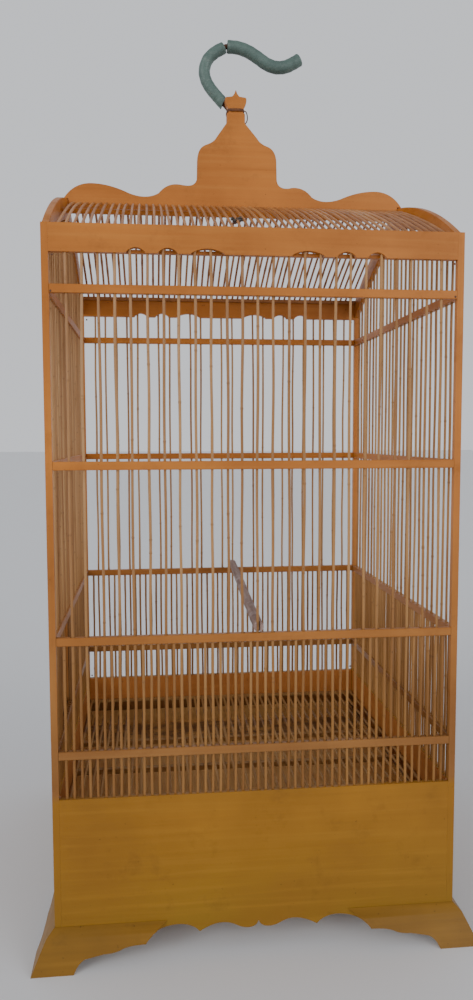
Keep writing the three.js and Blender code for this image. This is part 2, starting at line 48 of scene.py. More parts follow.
# ---- sizes, in millimetres, in the frame's own axes --------------------------------------
HALF = 200                      # half the plan's side
POST = 6.5                      # thickness of the posts, the rails and the upper boards
INNER = HALF - POST
SPAN = INNER - 0.3              # pieces between two posts reach this far
BAR_COUNT = 51                  # on a whole wall; every other one is full height
BAR_R = 1.5
PITCH = 2 * INNER / (BAR_COUNT + 1)
RAILS = (647, 484, 317, 206)    # middles of the rails, top rail first
RAIL_HALF = 4                   # half a rail's height
PLINTH_TOP, PLINTH_LOW = 163, 20
FRIEZE_LOW, EAVE, RIDGE = 680, 706, 783
BULGE = 10                      # rise of the end boards' arcs over their chords
ARCH_BAND = 24                  # height of the end boards' bands
BAR_LINE = -HALF + POST / 2     # a wall's bars stand in this plane
PLACES = [-INNER + (k + 1) * PITCH for k in range(BAR_COUNT)]
WALLS = {"front": 0, "right": math.pi / 2, "rear": math.pi, "left": -math.pi / 2}


# ---- camera ------------------------------------------------------------------------------
CAMERA_PLACE = (-0.1020, -0.9574, 0.5099)       # metres
CAMERA_TURNS = (6.08, 4.446, -0.148)            # yaw, pitch and roll in degrees
CAMERA_LENS, CAMERA_SENSOR = 28.79, 36          # millimetres


def make_camera():
    yaw, pitch, roll = (math.radians(angle) for angle in CAMERA_TURNS)
    ahead = Vector((math.sin(yaw) * math.cos(pitch), math.cos(yaw) * math.cos(pitch), -math.sin(pitch)))
    right = Vector((math.cos(yaw), -math.sin(yaw), 0))
    up = right.cross(ahead)
    across = right * math.cos(roll) + up * math.sin(roll)
    upright = up * math.cos(roll) - right * math.sin(roll)
    data = bpy.data.cameras.new("camera")
    data.lens = CAMERA_LENS
    data.sensor_width = CAMERA_SENSOR
    camera = bpy.data.objects.new("camera", data)
    bpy.context.scene.collection.objects.link(camera)
    turn = Matrix((across, upright, -ahead)).transposed().to_4x4()
    camera.matrix_world = Matrix.Translation(CAMERA_PLACE) @ turn
    bpy.context.scene.camera = camera


make_camera()


# ---- materials ---------------------------------------------------------------------------
class Shader:
    """A material's nodes, built a step at a time. Scales are per metre."""

    def __init__(self, name, gloss=0.5):
        self.material = bpy.data.materials.new(name)
        self.material.use_nodes = True
        self.tree = self.material.node_tree
        self.bsdf = self.tree.nodes["Principled BSDF"]
        self.bsdf.inputs["Specular IOR Level"].default_value = gloss
        self.place = self.node("ShaderNodeTexCoord").outputs["Object"]

    def node(self, kind, **settings):
        made = self.tree.nodes.new(kind)
        for key, value in settings.items():
            setattr(made, key, value)
        return made

    def link(self, source, target):
        self.tree.links.new(source, target)

    def stretched(self, scale):
        mapping = self.node("ShaderNodeMapping")
        mapping.inputs["Scale"].default_value = scale
        self.link(self.place, mapping.inputs["Vector"])
        return mapping.outputs["Vector"]

    def noise(self, scale, detail=3.0, vector=None, rough=0.55):
        made = self.node("ShaderNodeTexNoise")
        made.inputs["Scale"].default_value = scale
        made.inputs["Detail"].default_value = detail
        made.inputs["Roughness"].default_value = rough
        self.link(vector or self.place, made.inputs["Vector"])
        return made.outputs["Fac"]

    def ramp(self, value, low, high, to_low=0.0, to_high=1.0):
        made = self.node("ShaderNodeMapRange")
        made.inputs["From Min"].default_value = low
        made.inputs["From Max"].default_value = high
        made.inputs["To Min"].default_value = to_low
        made.inputs["To Max"].default_value = to_high
        self.link(value, made.inputs["Value"])
        return made.outputs["Result"]

    def math(self, operation, a, b):
        made = self.node("ShaderNodeMath", operation=operation)
        for slot, value in enumerate((a, b)):
            if isinstance(value, (int, float)):
                made.inputs[slot].default_value = value
            else:
                self.link(value, made.inputs[slot])
        return made.outputs[0]

    def mix(self, amount, a, b):
        made = self.node("ShaderNodeMix", data_type="RGBA")
        self.link(amount, made.inputs[0])
        for slot, value in ((6, a), (7, b)):
            if isinstance(value, tuple):
                made.inputs[slot].default_value = (*value, 1)
            else:
                self.link(value, made.inputs[slot])
        return made.outputs[2]

    def height(self):
        split = self.node("ShaderNodeSeparateXYZ")
        self.link(self.place, split.inputs[0])
        return split.outputs["Z"]

    def attribute(self, name):
        return self.node("ShaderNodeAttribute", attribute_name=name).outputs["Fac"]

    def finish(self, colour, roughness, bumps, metallic=0.0):
        self.link(colour, self.bsdf.inputs["Base Color"])
        self.link(roughness, self.bsdf.inputs["Roughness"])
        self.bsdf.inputs["Metallic"].default_value = metallic
        normal = None
        for height, distance in bumps:
            bump = self.node("ShaderNodeBump")
            bump.inputs["Strength"].default_value = 1.0
            bump.inputs["Distance"].default_value = distance
            self.link(height, bump.inputs["Height"])
            if normal:
                self.link(normal, bump.inputs["Normal"])
            normal = bump.outputs["Normal"]
        self.link(normal, self.bsdf.inputs["Normal"])
        return self.material


GRAIN = {"x": (5, 150, 150), "y": (150, 5, 150), "z": (150, 150, 5)}


def paint(name, base, deep, pale, grain, per_bar=False, lower=()):
    """Brushed varnish over wood. `lower` lists palettes for lower down: (palette, z from, z to)."""
    s = Shader(name, 0.25)
    strokes = s.noise(1.0, 4, s.stretched(GRAIN[grain]))
    clouds = s.noise(9, 4)
    dark = deep
    for palette, z_from, z_to in lower:
        share = s.ramp(s.height(), z_from, z_to)
        base = s.mix(share, base, palette["base"])
        deep = s.mix(share, deep, palette["deep"])
        pale = s.mix(share, pale, palette["pale"])
    colour = s.mix(s.ramp(clouds, 0.35, 0.72, 0, 0.8), base, deep)
    colour = s.mix(s.ramp(strokes, 0.5, 0.78, 0, 0.28), colour, pale)
    colour = s.mix(s.ramp(strokes, 0.44, 0.26, 0, 0.4), colour, deep)
    if per_bar:
        tint = s.attribute("tint")
        colour = s.mix(s.ramp(tint, 0.5, 1.0, 0, 0.4), colour, pale)
        colour = s.mix(s.ramp(tint, 0.5, 0.0, 0, 0.6), colour, deep)
        colour = s.mix(s.attribute("joint"), colour, tuple(c * 0.28 for c in dark))
    specks = s.noise(240, 2)
    colour = s.mix(s.ramp(specks, 0.7, 0.77, 0, 0.6), colour, tuple(c * 0.3 for c in dark))
    grime = s.math("MULTIPLY", s.ramp(s.noise(26, 5, rough=0.7), 0.55, 0.8), 0.4)
    colour = s.mix(grime, colour, tuple(c * 0.4 for c in dark))
    rough = s.math("ADD", s.ramp(clouds, 0.3, 0.7, 0.34, 0.46), s.math("MULTIPLY", grime, 0.5))
    return s.finish(colour, rough, [(strokes, 0.00025), (s.noise(420, 3), 0.00008)])


GOLD = dict(base=(0.53, 0.18, 0.029), deep=(0.34, 0.105, 0.014), pale=(0.65, 0.27, 0.055))
DULL = dict(base=(0.3, 0.13, 0.035), deep=(0.2, 0.078, 0.018), pale=(0.39, 0.2, 0.065))
BAMBOO = dict(base=(0.43, 0.215, 0.078), deep=(0.27, 0.12, 0.04), pale=(0.57, 0.34, 0.15))
AGED = dict(base=(0.3, 0.14, 0.038), deep=(0.2, 0.085, 0.022), pale=(0.4, 0.21, 0.07))
ROOF = dict(base=(0.5, 0.21, 0.07), deep=(0.3, 0.115, 0.035), pale=(0.62, 0.33, 0.13))
OCHRE = dict(base=(0.345, 0.147, 0.012), deep=(0.23, 0.098, 0.008), pale=(0.44, 0.205, 0.022))
OLIVE = dict(OCHRE, base=(0.24, 0.126, 0.009))
INSIDE = dict(base=(0.5, 0.185, 0.046), deep=(0.32, 0.11, 0.024), pale=(0.62, 0.28, 0.08))
# painted shade: the flared feet are painted darker than the plinth, for the shade on their tilted faces
FOOT_SHADE = dict(base=(0.235, 0.11, 0.009), deep=(0.148, 0.067, 0.006), pale=(0.37, 0.18, 0.022))
DULLING = (DULL, 0.47, 0.2)             # the frame dulls towards its foot
BELOW_RAILS = (OCHRE, 0.168, 0.16)      # the posts change colour where the plinth starts
NEAR_FEET = (OLIVE, 0.14, 0.03)
FRAME = {axis: paint(f"frame_paint_{axis}", grain=axis, lower=[DULLING], **GOLD) for axis in "xyz"}
PLINTH = {axis: paint(f"plinth_paint_{axis}", grain=axis, lower=[NEAR_FEET], **OCHRE) for axis in "xy"}
PLINTH_INSIDE = {axis: paint(f"plinth_inside_{axis}", grain=axis, **INSIDE) for axis in "xy"}
# the feet's darker paint is painted shade
FEET = {axis: paint(f"foot_paint_{axis}", grain=axis, **FOOT_SHADE) for axis in "xy"}
POSTS = paint("post_paint", grain="z", lower=[DULLING, BELOW_RAILS, NEAR_FEET], **GOLD)
BARS = {"z": paint("bar_paint_z", grain="z", per_bar=True, lower=[(AGED, 0.4, 0.24)], **BAMBOO),
        "y": paint("bar_paint_y", grain="y", per_bar=True, **ROOF)}


def littered_shaded_floor(name, base, deep, shade_band_y):
    """Board or slats with droppings and husks, and a band across the floor around the given y, in metres,
    painted darker as painted shade, with the bumps raised there too.
    """
    s = Shader(name)
    split = s.node("ShaderNodeSeparateXYZ")
    s.link(s.place, split.inputs[0])
    grain = s.noise(1.0, 4, s.stretched(GRAIN["y"]))
    colour = s.mix(s.ramp(grain, 0.3, 0.7), base, deep)
    # painted shade: a dark band across the floor, centred on the given y, where the floor lies in shade
    off_shade_band = s.math("ABSOLUTE", s.math("SUBTRACT", split.outputs["Y"], shade_band_y), 0)
    shade_band = s.ramp(off_shade_band, 0.04, 0.032, 0.04, 0.33)
    litter_and_shade = s.math("ADD", s.noise(55, 6, rough=0.75), shade_band)
    # droppings and husks darken the colour in spots; inside the band the same dark colour is painted shade
    colour = s.mix(s.ramp(litter_and_shade, 0.7, 0.88, 0, 0.85), colour, (0.15, 0.066, 0.028))
    colour = s.mix(s.ramp(s.noise(170, 3), 0.7, 0.75, 0, 0.7), colour, (0.42, 0.33, 0.22))
    return s.finish(colour, s.ramp(grain, 0.2, 0.8, 0.55, 0.8), [(litter_and_shade, 0.0008), (grain, 0.0003)])


# painted light: the tray board's colours are made very pale to lift it out of the shade under the slats
TRAY_BOARD = littered_shaded_floor("tray_board", (0.76, 0.44, 0.15), (0.58, 0.32, 0.1), 0.143)
SLATS = littered_shaded_floor("slat_paint", (0.44, 0.235, 0.07), (0.3, 0.15, 0.045), 0.098)


def hose_rubber():
    s = Shader("hose_rubber")
    clouds = s.noise(45, 4)
    colour = s.mix(s.ramp(clouds, 0.3, 0.7), (0.105, 0.165, 0.14), (0.06, 0.1, 0.088))
    colour = s.mix(s.ramp(s.noise(160, 5, rough=0.7), 0.52, 0.75, 0, 0.55), colour, (0.2, 0.24, 0.21))
    colour = s.mix(s.ramp(s.noise(22, 3), 0.6, 0.75, 0, 0.5), colour, (0.05, 0.06, 0.05))
    bumps = [(s.noise(90, 3), 0.0006), (clouds, 0.0008)]
    return s.finish(colour, s.ramp(clouds, 0.3, 0.7, 0.42, 0.62), bumps)


def rusty_iron():
    s = Shader("rusty_iron")
    rust = s.noise(130, 6, rough=0.7)
    colour = s.mix(s.ramp(rust, 0.35, 0.65), (0.045, 0.032, 0.028), (0.24, 0.085, 0.03))
    colour = s.mix(s.ramp(s.noise(40, 3), 0.58, 0.7, 0, 0.6), colour, (0.3, 0.14, 0.06))
    return s.finish(colour, s.ramp(rust, 0.3, 0.7, 0.5, 0.9), [(rust, 0.0006)], 0.55)


def bare_stick():
    s = Shader("bare_stick")
    bark = s.noise(1.0, 5, s.stretched((260, 14, 260)))
    colour = s.mix(s.ramp(bark, 0.3, 0.7), (0.36, 0.24, 0.2), (0.19, 0.12, 0.1))
    colour = s.mix(s.ramp(s.noise(60, 4), 0.52, 0.72, 0, 0.8), colour, (0.5, 0.42, 0.4))
    return s.finish(colour, s.ramp(bark, 0.3, 0.7, 0.6, 0.85), [(bark, 0.0009), (s.noise(200, 3), 0.0003)])


def dry_dirt():
    s = Shader("dry_dirt", 0.2)
    lumps = s.noise(300, 4)
    colour = s.mix(s.ramp(lumps, 0.3, 0.7), (0.05, 0.04, 0.035), (0.14, 0.11, 0.09))
    return s.finish(colour, s.ramp(lumps, 0.3, 0.7, 0.8, 0.95), [(lumps, 0.0004)])


HOSE, IRON, STICK, DIRT = hose_rubber(), rusty_iron(), bare_stick(), dry_dirt()


# ---- mesh helpers (millimetres in, metres out) ---------------------------------------------
class Piece:
    """Collects geometry in millimetres and turns it into one object that rides on a body."""

    def __init__(self, name):
        self.name = name
        self.bm = bmesh.new()
        self.tint = self.bm.verts.layers.float.new("tint")
        self.joint = self.bm.verts.layers.float.new("joint")

    def face(self, verts):
        try:
            return self.bm.faces.new(verts)
        except ValueError:
            return None

    def loft(self, rings, caps=True):
        """Joins equal rings of points side by side."""
        made = [[self.bm.verts.new(p) for p in ring] for ring in rings]
        count = len(rings[0])
        for a, b in zip(made, made[1:]):
            for i in range(count):
                self.face((a[i], a[(i + 1) % count], b[(i + 1) % count], b[i]))
        if caps:
            self.face(list(reversed(made[0])))
            self.face(made[-1])
        return made

    def prism(self, outline, y0, y1):
        """A shape in elevation (x, z), from y0 to y1."""
        self.loft([[Vector((x, y, z)) for x, z in outline] for y in (y0, y1)])

    def block(self, lo, hi):
        (x0, y0, z0), (x1, y1, z1) = lo, hi
        ring = [(x0, y0), (x1, y0), (x1, y1), (x0, y1)]
        self.loft([[Vector((x, y, z)) for x, y in ring] for z in (z0, z1)])

    def tube(self, path, radii, sides=8, tint=0.5, joints=None, caps=True, squash=1.0):
        path = [Vector(p) for p in path]
        ahead = (path[1] - path[0]).normalized()
        side = ahead.orthogonal().normalized()
        if abs(ahead.z) > 0.8:
            side = (Vector((1, 0, 0)) - ahead * ahead.x).normalized()
        rings = []
        for i, point in enumerate(path):
            ahead = (path[min(i + 1, len(path) - 1)] - path[max(i - 1, 0)]).normalized()
            side = (side - ahead * side.dot(ahead)).normalized()
            other = ahead.cross(side)
            radius = radii[i] if isinstance(radii, (list, tuple)) else radii
            ring = []
            for n in range(sides):
                angle = 2 * math.pi * n / sides
                across = side * (radius * math.cos(angle))
                ring.append(point + across + other * (radius * squash * math.sin(angle)))
            rings.append(ring)
        made = self.loft(rings, caps)
        for i, ring in enumerate(made):
            for vert in ring:
                vert[self.tint] = tint
                vert[self.joint] = joints[i] if joints else 0.0
        return made

    def lathe(self, origin, axis, profile, sides=28):
        """A turned shape: profile holds (distance along the axis, radius)."""
        axis = Vector(axis)
        a = axis.orthogonal().normalized()
        b = axis.cross(a)
        rings = []
        for along, radius in profile:
            centre = Vector(origin) + axis * along
            ring = []
            for n in range(sides):
                angle = 2 * math.pi * n / sides
                ring.append(centre + (a * math.cos(angle) + b * math.sin(angle)) * max(radius, 0.02))
            rings.append(ring)
        self.loft(rings)

    def make(self, material, body="cage", slot=None, stands_for=(), turn=0.0, bevel=0.0, sharp=32):
        bm = self.bm
        bmesh.ops.recalc_face_normals(bm, faces=bm.faces)
        place = Matrix.Scale(MM, 4) @ Matrix.Rotation(turn, 4, "Z")
        bmesh.ops.transform(bm, matrix=place, verts=bm.verts)
        limit = math.radians(sharp)
        for f in bm.faces:
            f.smooth = True
        for e in bm.edges:
            if len(e.link_faces) != 2 or e.calc_face_angle(0) > limit:
                e.smooth = False
        mesh = bpy.data.meshes.new(self.name)
        bm.to_mesh(mesh)
        bm.free()
        mesh.materials.append(material)
        made = bpy.data.objects.new(self.name, mesh)
        bpy.context.scene.collection.objects.link(made)
        if bevel:
            round_edges(made, bevel)
        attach(made, body)
        if stands_for:
            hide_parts(*stands_for)
        return made


def round_edges(thing, width):
    bevel = thing.modifiers.new("edges", "BEVEL")
    bevel.width = width * MM
    bevel.segments = 2
    bevel.limit_method = "ANGLE"
    bevel.angle_limit = math.radians(38)
    bevel.harden_normals = True


def quad(p0, c, p1, steps=10):
    """Points of a quadratic curve after its first point."""
    points = []
    for n in range(1, steps + 1):
        t = n / steps
        points.append(tuple((1 - t) ** 2 * a + 2 * t * (1 - t) * b + t * t * d for a, b, d in zip(p0, c, p1)))
    return points


def cubic(p0, c0, c1, p1, steps=14):
    """Points of a cubic curve after its first point."""
    points = []
    for n in range(1, steps + 1):
        t = n / steps
        weights = ((1 - t) ** 3, 3 * t * (1 - t) ** 2, 3 * t * t * (1 - t), t ** 3)
        points.append(tuple(sum(w * p[i] for w, p in zip(weights, (p0, c0, c1, p1))) for i in (0, 1)))
    return points


def smooth_path(points, per):
    """A Catmull-Rom curve through the points, with `per` steps between two of them."""
    pts = [Vector(p) for p in points]
    pts = [2 * pts[0] - pts[1], *pts, 2 * pts[-1] - pts[-2]]
    path = []
    for i in range(1, len(pts) - 2):
        a, b, c, d = pts[i - 1:i + 3]
        for n in range(per):
            t = n / per
            path.append(0.5 * (2 * b + (c - a) * t + (2 * a - 5 * b + 4 * c - d) * t * t
                               + (3 * b - a - 3 * c + d) * t ** 3))
    path.append(pts[-2])
    return path


# ---- curves shared by several pieces -------------------------------------------------------
CHORD = math.hypot(INNER, RIDGE - EAVE)
ARC = (CHORD ** 2 / 4 + BULGE ** 2) / (2 * BULGE)
ARC_Y = INNER / 2 - (ARC - BULGE) * (RIDGE - EAVE) / CHORD
ARC_Z = (EAVE + RIDGE) / 2 - (ARC - BULGE) * INNER / CHORD


def roof_height(y):
    """Top of the arched end boards."""
    return ARC_Z + math.sqrt(ARC ** 2 - (abs(y) - ARC_Y) ** 2)


SLOPE_EAVE, SLOPE_RIDGE, SLOPE_BULGE = 704, 780, 5


def bar_height(y):
    """Middle of the roof bars, along one gentle curve from eave to ridge."""
    climb = (INNER - abs(y)) / INNER
    return SLOPE_EAVE + (SLOPE_RIDGE - SLOPE_EAVE) * climb + 4 * SLOPE_BULGE * climb * (1 - climb)


HOLLOWS = ((31, 64, 5.2), (75, 94, 5.2), (105, 123.5, 5.2))    # start, end and depth of each


def frieze_edge(x):
    for start, end, depth in HOLLOWS:
        along = (abs(x) - start) / (end - start)
        if 0 < along < 1:
            return FRIEZE_LOW + depth * math.sin(math.pi * along) ** 0.7
    return FRIEZE_LOW


# ---- posts, purlins and other straight pieces: the CAD's own shapes with softened edges -------
def keep(node, material, bevel=0.5):
    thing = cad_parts[node]
    thing.data.materials.clear()
    thing.data.materials.append(material)
    round_edges(thing, bevel)


for corner in ("front_left", "front_right", "rear_left", "rear_right"):
    keep(f"post_{corner}", POSTS, 0.3)
for side in ("front", "rear"):
    keep(f"{side}_purlin", FRAME["x"])
    keep(f"{side}_tray_runner", FRAME["x"])
keep("door_guide_frame", FRAME["z"], 0.4)
keep("tray_face", PLINTH["y"], 0.6)


# ---- bars --------------------------------------------------------------------------------
TURN = 6.28                     # about one turn, in radians


def bar_tube(piece, rng, x, low, high, lean):
    """One bamboo bar: slightly crooked, uneven in width, with one joint ring or three."""
    steps = max(4, int((high - low) / 16))
    drift, bow = rng.uniform(-1, 1) * lean, rng.uniform(-1, 1) * lean
    phase, waves = rng.uniform(0, TURN), rng.uniform(1.5, 4)
    nodes = [low + rng.uniform(0.1, 0.9) * (high - low) for _ in range(1 if high - low < 200 else 3)]
    path, radii, joints = [], [], []
    heights = sorted({low + (high - low) * n / steps for n in range(steps + 1)}
                     | {z + d for z in nodes for d in (-1.6, 0, 1.6) if low < z + d < high})
    for z in heights:
        t = (z - low) / (high - low)
        sway = drift * (t - 0.3) * 0.8 + bow * math.sin(math.pi * t) * 1.2
        sway += 0.35 * lean * math.sin(phase + waves * TURN * t)
        near = min(abs(z - n) for n in nodes)
        y = BAR_LINE + 0.25 * lean * math.sin(phase * 2 + waves * 4 * t)
        path.append((x + sway, y, z))
        radii.append(BAR_R * (0.9 + 0.05 * math.sin(phase + 9 * t)) + (0.22 if near < 0.5 else 0))
        joints.append(0.3 if near < 0.5 else 0.0)
    piece.tube(path, radii, 8, rng.random(), joints)


def seed_from(name):
    """A fixed seed from a name."""
    return sum((i + 1) * ord(c) for i, c in enumerate(name))


def is_short(k):
    return k % 2 == 0


def wall_bars(side, name, keys, ends_at, stands_for):
    rng = random.Random(seed_from(name))
    piece = Piece(name)
    for k in keys:
        low, high = ends_at(k)
        bar_tube(piece, rng, PLACES[k], low, high, 0.35 if is_short(k) else 1.0)
    piece.make(BARS["z"], slot="bar_paint", stands_for=stands_for, turn=WALLS[side])


IN_RAIL = 2                     # from the middle of a rail to the end of a bar in it
IN_FRIEZE, IN_ARCH = 8, 3       # from a board's lower edge up to the ends of the bars in it
BAR_LOW = PLINTH_TOP - 4        # the bars are let into the plinth's top edge
SHORT_HIGH = RAILS[2] - IN_RAIL


def under_frieze(k):
    return BAR_LOW, SHORT_HIGH if is_short(k) else FRIEZE_LOW + IN_FRIEZE


def under_arch(k):
    return BAR_LOW, SHORT_HIGH if is_short(k) else roof_height(PLACES[k]) - ARCH_BAND + IN_ARCH


def under_door(k):
    return BAR_LOW, RAILS[3] + IN_RAIL


def over_door(k):
    return RAILS[2] - IN_RAIL, under_arch(k)[1]


DOOR_FIRST, DOOR_PAST = 32, 43      # the left wall's bars that the doorway interrupts
DOORWAY = range(DOOR_FIRST, DOOR_PAST)
FULL_OVER_DOOR = range(DOOR_FIRST + 1, DOOR_PAST, 2)
wall_bars("front", "front_bamboo", range(BAR_COUNT), under_frieze, ["front_bars"])
wall_bars("rear", "rear_bamboo", range(BAR_COUNT), under_frieze, ["rear_bars"])
wall_bars("right", "right_bamboo", range(BAR_COUNT), under_arch, ["right_bars"])
wall_bars("left", "left_bamboo_rear", range(DOOR_FIRST), under_arch, ["left_bars_rear"])
wall_bars("left", "left_bamboo_front", range(DOOR_PAST, BAR_COUNT), under_arch, ["left_bars_front"])
wall_bars("left", "left_bamboo_under_door", DOORWAY, under_door, ["left_bars_under_door"])
wall_bars("left", "left_bamboo_over_door", FULL_OVER_DOOR, over_door, ["left_bars_over_door"])


# ---- rails, drilled for the bars -----------------------------------------------------------
HOLE_R = 1.9
RAIL_EDGE = 0.5                 # width of the rails' bevelled edges


def drilled_rail(side, number):
    """A rail: ends and long sides, then a cell of its underside and top at each bar."""
    z0, z1 = RAILS[number] - RAIL_HALF, RAILS[number] + RAIL_HALF
    piece = Piece(f"{side}_rail_{number + 1}_drilled")
    edge, back, front = RAIL_EDGE, -INNER, -HALF
    lo_y, hi_y = front + edge, back - edge
    mid_y = (front + back) / 2
    half_u, half_v = PITCH / 2, (hi_y - lo_y) / 2
    corner = math.atan2(half_v, half_u)
    quarter = [0, corner / 2, corner, (corner + math.pi / 2) / 2, math.pi / 2]
    angles = quarter + [math.pi - a for a in reversed(quarter[:-1])]
    angles += [math.pi + a for a in angles[1:-1]]
    angles = sorted({round(a % (2 * math.pi), 9) for a in angles})
    section = [(front, z0 + edge), (front, z1 - edge), (lo_y, z1), (hi_y, z1), (back, z1 - edge),
               (back, z0 + edge), (hi_y, z0), (lo_y, z0)]
    ends = [[Vector((x, y, z)) for y, z in section] for x in (-SPAN, SPAN)]
    a, b = ([piece.bm.verts.new(p) for p in ring] for ring in ends)
    count = len(section)
    for i in range(count):
        if i not in (2, 6):     # the top and the underside, which are made of cells
            piece.face((a[i], a[(i + 1) % count], b[(i + 1) % count], b[i]))
    piece.face(list(reversed(a)))
    piece.face(b)

    def cell(x, z, drilled):
        corners = [(x - half_u, lo_y), (x + half_u, lo_y), (x + half_u, hi_y), (x - half_u, hi_y)]
        if not drilled:
            piece.face([piece.bm.verts.new((u, v, z)) for u, v in corners])
            return None
        hole, rim = [], []
        for angle in angles:
            c, s = math.cos(angle), math.sin(angle)
            reach = min(half_u / max(abs(c), 1e-9), half_v / max(abs(s), 1e-9))
            rim.append(piece.bm.verts.new((x + reach * c, mid_y + reach * s, z)))
            hole.append(piece.bm.verts.new((x + HOLE_R * c, mid_y + HOLE_R * s, z)))
        count = len(angles)
        for i in range(count):
            piece.face((rim[i], rim[(i + 1) % count], hole[(i + 1) % count], hole[i]))
        return hole

    # the short bars pass through the lowest rail and end inside the one above it
    for k, x in enumerate(PLACES):
        full = not is_short(k)
        below = full or number >= 2
        above = full or number == 3
        holes = [cell(x, z0, below), cell(x, z1, above)]
        if all(holes):
            count = len(holes[0])
            for i in range(count):
                m = (i + 1) % count
                piece.face((holes[0][i], holes[0][m], holes[1][m], holes[1][i]))
    inner_end = INNER - PITCH / 2
    for z in (z0, z1):
        for u0, u1 in ((-SPAN, -inner_end), (inner_end, SPAN)):
            ring = [(u0, lo_y), (u1, lo_y), (u1, hi_y), (u0, hi_y)]
            piece.face([piece.bm.verts.new((u, v, z)) for u, v in ring])
    grain = "x" if side in ("front", "rear") else "y"
    piece.make(FRAME[grain], slot="frame_paint", stands_for=[f"{side}_rail_{number + 1}"], turn=WALLS[side])


for side in WALLS:
    for number in range(4):
        drilled_rail(side, number)


# ---- friezes, arched end boards, crest ------------------------------------------------------
HEAD_LATH = dict(deep=5, low=681, high=684.2)      # behind the front frieze only


def frieze(side):
    piece = Piece(f"{side}_frieze_board")
    outline = [(-INNER, EAVE), (-INNER, FRIEZE_LOW)]
    hollows = [(-b, -a) for a, b, _ in reversed(HOLLOWS)] + [(a, b) for a, b, _ in HOLLOWS]
    for start, end in hollows:
        places = [start + (end - start) * n / 16 for n in range(17)]
        outline += [(x, frieze_edge(x)) for x in places]
    outline += [(INNER, FRIEZE_LOW), (INNER, EAVE)]
    piece.prism(outline, -HALF, -INNER)
    if side == "front":
        lath_rear = -INNER + HEAD_LATH["deep"]
        piece.block((-SPAN, -INNER + 0.05, HEAD_LATH["low"]), (SPAN, lath_rear, HEAD_LATH["high"]))
    piece.make(FRAME["x"], slot="frame_paint", stands_for=[f"{side}_frieze"], turn=WALLS[side], bevel=0.2)


def arch_board(side):
    piece = Piece(f"{side}_arch")
    ys = [-SPAN + 2 * SPAN * n / 64 for n in range(65)]
    outline = [(y, roof_height(y)) for y in ys] + [(y, roof_height(y) - ARCH_BAND) for y in reversed(ys)]
    piece.prism(outline, -HALF, -INNER)
    piece.make(FRAME["y"], slot="frame_paint", stands_for=[f"{side}_arch_board"], turn=WALLS[side], bevel=0.5)


for side in ("front", "rear"):
    frieze(side)
for side in ("left", "right"):
    arch_board(side)


CREST_LOW = 768.5
CREST_HALF = 4.5                # half its thickness
SHOULDER = RIDGE + 0.3          # the crest's ends ride over the end boards here


def crest():
    """The right half's outline from its end to the finial's tip, and its mirror image."""
    piece = Piece("crest")
    half = [(198.5, SHOULDER)]
    for c, p in (((187, 801), (167, 801.3)), ((146, 801.3), (124, 791.2)), ((104, 784), (90, 792.3)),
                 ((79, 806), (62, 802)), ((48, 800), (46.8, 811))):
        half += quad(half[-1], c, p)
    half.append((46.3, 832))
    half += quad(half[-1], (45.5, 845), (36, 848.5))
    half += quad(half[-1], (27, 851.5), (24, 857))
    half += [(10.6, 874), (10.6, 884.5)]
    half += quad(half[-1], (8, 885.5), (8.2, 888.5), 5)
    half.append((12, 896.5))
    half += quad(half[-1], (13, 901), (11.8, 902.8), 5)
    half += [(4, 903.8), (1.6, 907), (0, 911.3)]
    outline = half + [(-x, z) for x, z in reversed(half[:-1])]
    # the middle block stands a little to the right
    outline = [(x + (1.2 if 20 < abs(x) < 63 else 0), z) for x, z in outline]
    outline += [(-SPAN, SHOULDER), (-SPAN, CREST_LOW), (SPAN, CREST_LOW), (SPAN, SHOULDER)]
    piece.prism(outline, -CREST_HALF, CREST_HALF)
    piece.make(FRAME["x"], slot="frame_paint", stands_for=["crest_board"], bevel=0.7)


crest()


# ---- roof bars ------------------------------------------------------------------------------
ROOF_START = -191               # the bars' lower ends, inside the eave
ROOF_END = -4.2                 # their upper ends, in the crest board
HOOK_BAR_END = -18              # the rear slope's middle bar stops short of the hook's rod
ROOF_STEPS = 20


def roof(side, name):
    rng = random.Random(seed_from(name))
    piece = Piece(name)
    for k, x in enumerate(PLACES):
        end = HOOK_BAR_END if side == "rear" and k == BAR_COUNT // 2 else ROOF_END
        sway, bow = rng.uniform(-0.8, 0.8), rng.uniform(-0.9, 0.9)
        path, joints, radii = [], [], []
        ring_at = rng.randrange(3, 17)
        for n in range(ROOF_STEPS + 1):
            t = n / ROOF_STEPS
            y = ROOF_START + (end - ROOF_START) * t
            path.append((x + sway * t * 0.7 + bow * math.sin(math.pi * t), y, bar_height(y)))
            radii.append(BAR_R * (1.08 if n == ring_at else 0.92))
            joints.append(0.3 if n == ring_at else 0.0)
        piece.tube(path, radii, 8, rng.random(), joints)
    low = bar_height(INNER - 0.3) - 2
    piece.block((-SPAN, -INNER + 0.3, low), (SPAN, -INNER + 5.3, low + 4))
    piece.make(BARS["y"], slot="bar_paint", stands_for=[f"roof_bars_{side}"], turn=WALLS[side])


roof("front", "roof_bamboo_front")
roof("rear", "roof_bamboo_rear")


# ---- plinth boards and feet -------------------------------------------------------------------
def cut_with(thing, tool, operation):
    mod = thing.modifiers.new("cut", "BOOLEAN")
    mod.operation = operation
    mod.object = tool
    mod.solver = "EXACT"
    bpy.context.view_layer.update()
    shaped = bpy.data.meshes.new_from_object(thing.evaluated_get(bpy.context.evaluated_depsgraph_get()))
    thing.modifiers.clear()
    thing.data = shaped
    bpy.data.objects.remove(tool)


def loose(piece):
    """The piece's geometry as a plain object, still in millimetres."""
    bmesh.ops.recalc_face_normals(piece.bm, faces=piece.bm.faces)
    mesh = bpy.data.meshes.new(piece.name)
    piece.bm.to_mesh(mesh)
    piece.bm.free()
    thing = bpy.data.objects.new(piece.name, mesh)
    bpy.context.scene.collection.objects.link(thing)
    return thing


def adopt(name, thing):
    """A new piece holding an object's mesh; the object is removed."""
    piece = Piece(name)
    piece.bm.from_mesh(thing.data)
    bpy.data.objects.remove(thing)
    return piece


